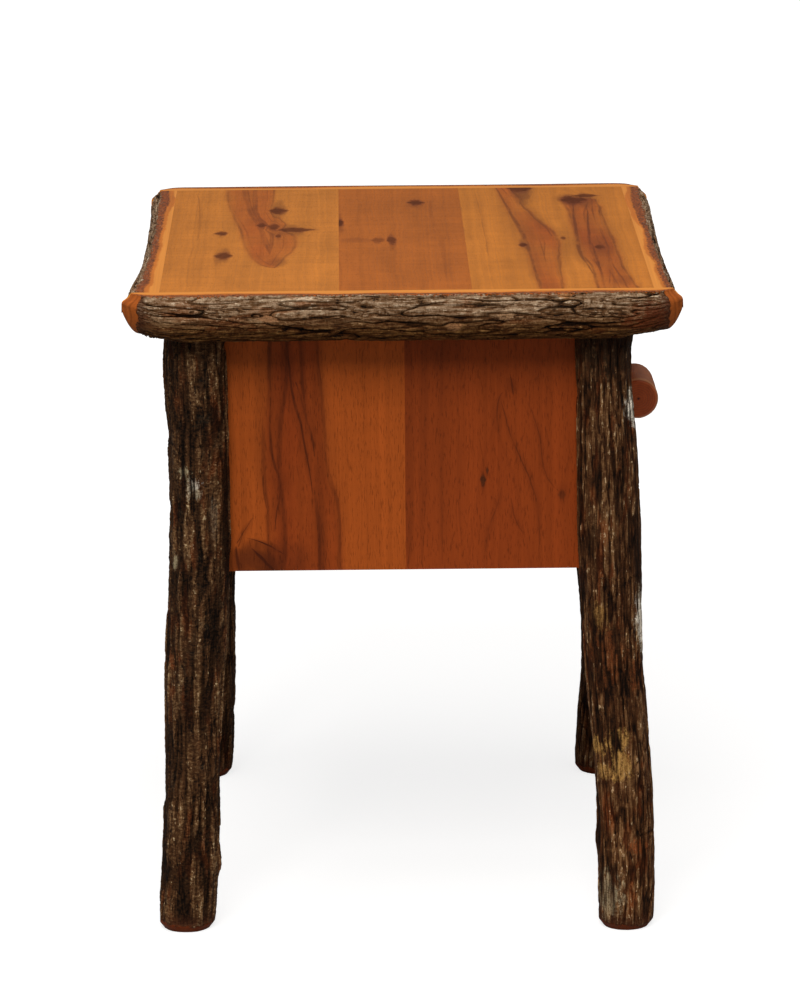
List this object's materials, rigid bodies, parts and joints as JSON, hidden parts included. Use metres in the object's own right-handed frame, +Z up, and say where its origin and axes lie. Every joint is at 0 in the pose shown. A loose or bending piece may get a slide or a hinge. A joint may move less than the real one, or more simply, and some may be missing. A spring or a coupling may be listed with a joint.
{
  "type": "side table with drawer",
  "caption": "Rustic side table: board top framed by bark-covered split logs, panelled case on bark-covered pole legs, and a drawer with a short branch for a handle.",
  "frame": {"origin": "on the floor, under the middle of the top's outline", "axes": "+Z up; the drawer opens towards -Y; X runs from side to side"},
  "size_m": [0.6109, 0.512, 0.61],
  "materials": {
    "hickory_top": "clear satin lacquer over warm stained boards",
    "hickory_case": "clear satin lacquer over red-brown stained boards",
    "hickory_bark": "natural ridged bark under a thin clear coat, sanded wood where it is cut",
    "peeled_hickory": "peeled branch under satin lacquer",
    "inside_wood": "plain sealed hardwood",
    "plywood": "plain sealed veneer",
    "zinc_steel": "bright zinc plated sheet",
    "screw_steel": "yellow zinc plated",
    "ball_steel": "polished steel"
  },
  "bodies": {
    "table": {"back_board_left": "hickory_case", "back_board_middle_left": "hickory_case", "back_board_middle_right": "hickory_case", "back_board_right": "hickory_case", "back_board_screws": "screw_steel", "back_rail_bottom": "inside_wood", "batten_screws": "screw_steel", "cleat_screws": "screw_steel", "edge_log_back": "hickory_bark", "edge_log_dowels": "inside_wood", "edge_log_front": "hickory_bark", "edge_log_left": "hickory_bark", "edge_log_right": "hickory_bark", "front_rail_bottom": "hickory_case", "front_rail_top": "hickory_case", "leg_back_left": "hickory_bark", "leg_back_right": "hickory_bark", "leg_front_left": "hickory_bark", "leg_front_right": "hickory_bark", "leg_screws": "screw_steel", "rail_dowels": "inside_wood", "side_board_left_back": "hickory_case", "side_board_left_front": "hickory_case", "side_board_right_back": "hickory_case", "side_board_right_front": "hickory_case", "slide_batten_left": "inside_wood", "slide_batten_right": "inside_wood", "slide_case_member_left": "zinc_steel", "slide_case_member_right": "zinc_steel", "slide_case_screws": "screw_steel", "top_board_back": "hickory_top", "top_board_front": "hickory_top", "top_board_middle": "hickory_top", "top_cleat_back": "inside_wood", "top_cleat_front": "inside_wood", "top_cleat_left": "inside_wood", "top_cleat_right": "inside_wood", "top_screws": "screw_steel"},
    "drawer": {"drawer_bottom": "plywood", "drawer_box_back": "inside_wood", "drawer_box_front": "inside_wood", "drawer_front": "hickory_case", "drawer_front_screws": "screw_steel", "drawer_handle": "peeled_hickory", "drawer_handle_screws": "screw_steel", "drawer_side_left": "inside_wood", "drawer_side_right": "inside_wood", "slide_drawer_member_left": "zinc_steel", "slide_drawer_member_right": "zinc_steel", "slide_drawer_screws": "screw_steel"},
    "inner_balls_left": {"slide_inner_balls_left": "ball_steel", "slide_inner_cage_left": "zinc_steel"},
    "inner_balls_right": {"slide_inner_balls_right": "ball_steel", "slide_inner_cage_right": "zinc_steel"},
    "middle_left": {"slide_middle_member_left": "zinc_steel"},
    "middle_right": {"slide_middle_member_right": "zinc_steel"},
    "outer_balls_left": {"slide_outer_balls_left": "ball_steel", "slide_outer_cage_left": "zinc_steel"},
    "outer_balls_right": {"slide_outer_balls_right": "ball_steel", "slide_outer_cage_right": "zinc_steel"}
  },
  "joints": [
    {"name": "drawer_slide", "type": "slide", "parent": "table", "child": "drawer", "axis": [0, -1, 0], "range_m": [0, 0.35]},
    {"name": "middle_left_slide", "type": "slide", "parent": "table", "child": "middle_left", "axis": [0, -1, 0], "range_m": [0, 0.175]},
    {"name": "outer_balls_left_slide", "type": "slide", "parent": "table", "child": "outer_balls_left", "axis": [0, -1, 0], "range_m": [0, 0.0875]},
    {"name": "inner_balls_left_slide", "type": "slide", "parent": "table", "child": "inner_balls_left", "axis": [0, -1, 0], "range_m": [0, 0.2625]},
    {"name": "middle_right_slide", "type": "slide", "parent": "table", "child": "middle_right", "axis": [0, -1, 0], "range_m": [0, 0.175]},
    {"name": "outer_balls_right_slide", "type": "slide", "parent": "table", "child": "outer_balls_right", "axis": [0, -1, 0], "range_m": [0, 0.0875]},
    {"name": "inner_balls_right_slide", "type": "slide", "parent": "table", "child": "inner_balls_right", "axis": [0, -1, 0], "range_m": [0, 0.2625]}
  ],
  "couplings": [
    {"joint": "middle_left_slide", "follows": "drawer_slide", "ratio": 0.5},
    {"joint": "outer_balls_left_slide", "follows": "drawer_slide", "ratio": 0.25},
    {"joint": "inner_balls_left_slide", "follows": "drawer_slide", "ratio": 0.75},
    {"joint": "middle_right_slide", "follows": "drawer_slide", "ratio": 0.5},
    {"joint": "outer_balls_right_slide", "follows": "drawer_slide", "ratio": 0.25},
    {"joint": "inner_balls_right_slide", "follows": "drawer_slide", "ratio": 0.75}
  ]
}
